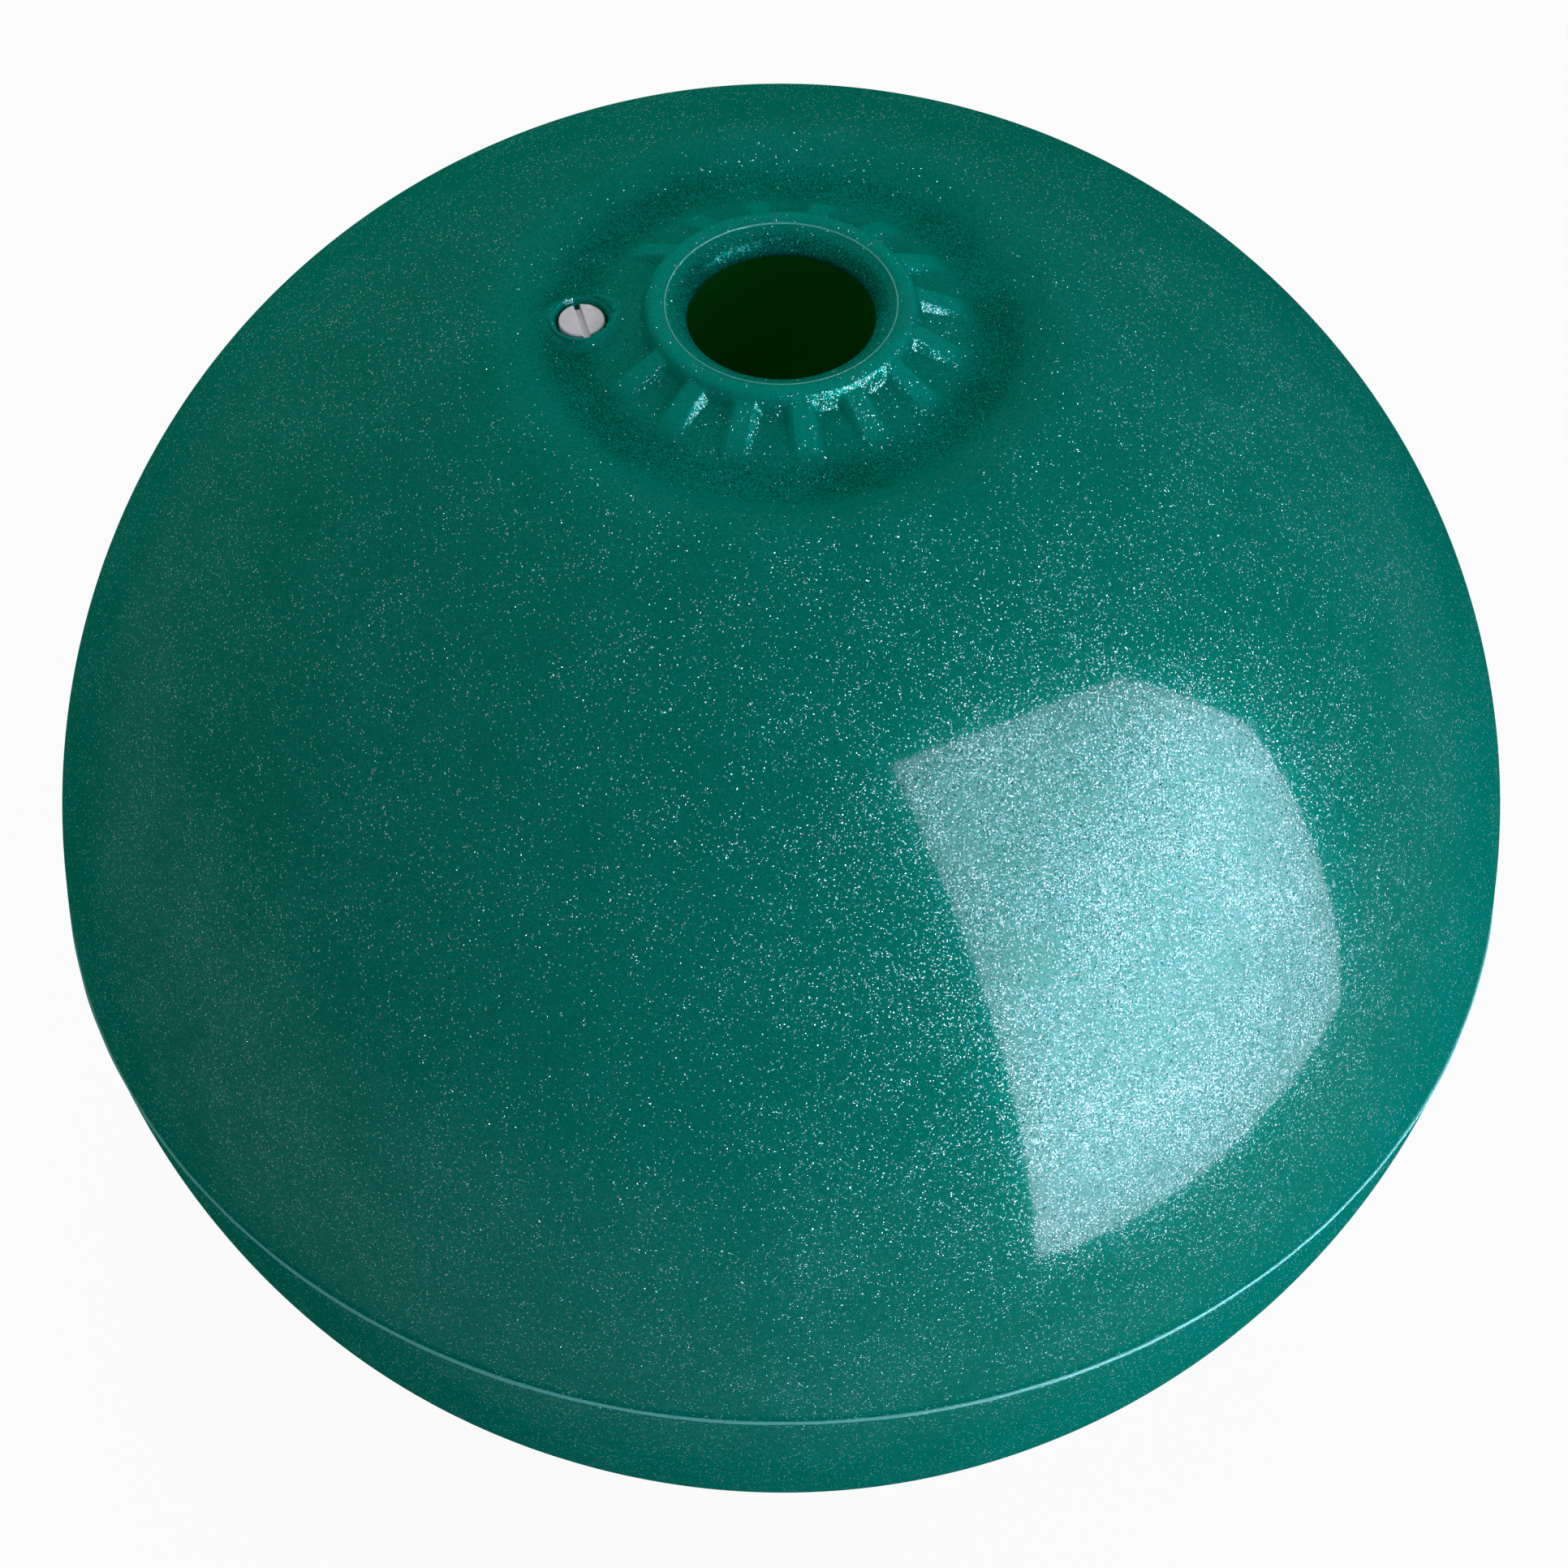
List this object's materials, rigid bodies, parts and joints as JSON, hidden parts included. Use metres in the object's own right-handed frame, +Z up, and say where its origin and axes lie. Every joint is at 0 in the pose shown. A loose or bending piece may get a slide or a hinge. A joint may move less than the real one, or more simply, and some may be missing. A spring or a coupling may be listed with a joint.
{
  "type": "centre-hole mooring buoy",
  "caption": "Round inflatable mooring buoy with a hole through its centre, a ribbed collar round each mouth and a slotted screw valve.",
  "frame": {"origin": "on the axis of the centre hole, at the foot of the lower collar, where the buoy stands", "axes": "+Z up along the centre hole towards the end with the valve; the valve lies towards -X"},
  "size_m": [0.4585, 0.4586, 0.423],
  "materials": {
    "shell_vinyl": "glossy dark teal vinyl with fine metallic flakes",
    "hub_vinyl": "glossy dark teal vinyl with fine metallic flakes",
    "tube_vinyl": "satin dark teal vinyl, thick and dark inside",
    "plug_plastic": "pale grey moulded plastic",
    "washer_rubber": "dark soft sealing rubber"
  },
  "bodies": {
    "buoy": {"shell_upper": "shell_vinyl", "shell_lower": "shell_vinyl", "parting_bead": "shell_vinyl", "hub_upper": "hub_vinyl", "hub_lower": "hub_vinyl", "centre_tube": "tube_vinyl", "valve_seat": "hub_vinyl"},
    "plug": {"valve_plug": "plug_plastic", "valve_washer": "washer_rubber"}
  },
  "joints": [
    {"name": "plug_draw", "type": "slide", "parent": "buoy", "child": "plug", "axis": [0, 0, 1], "range_m": [0, 0.0175]}
  ]
}
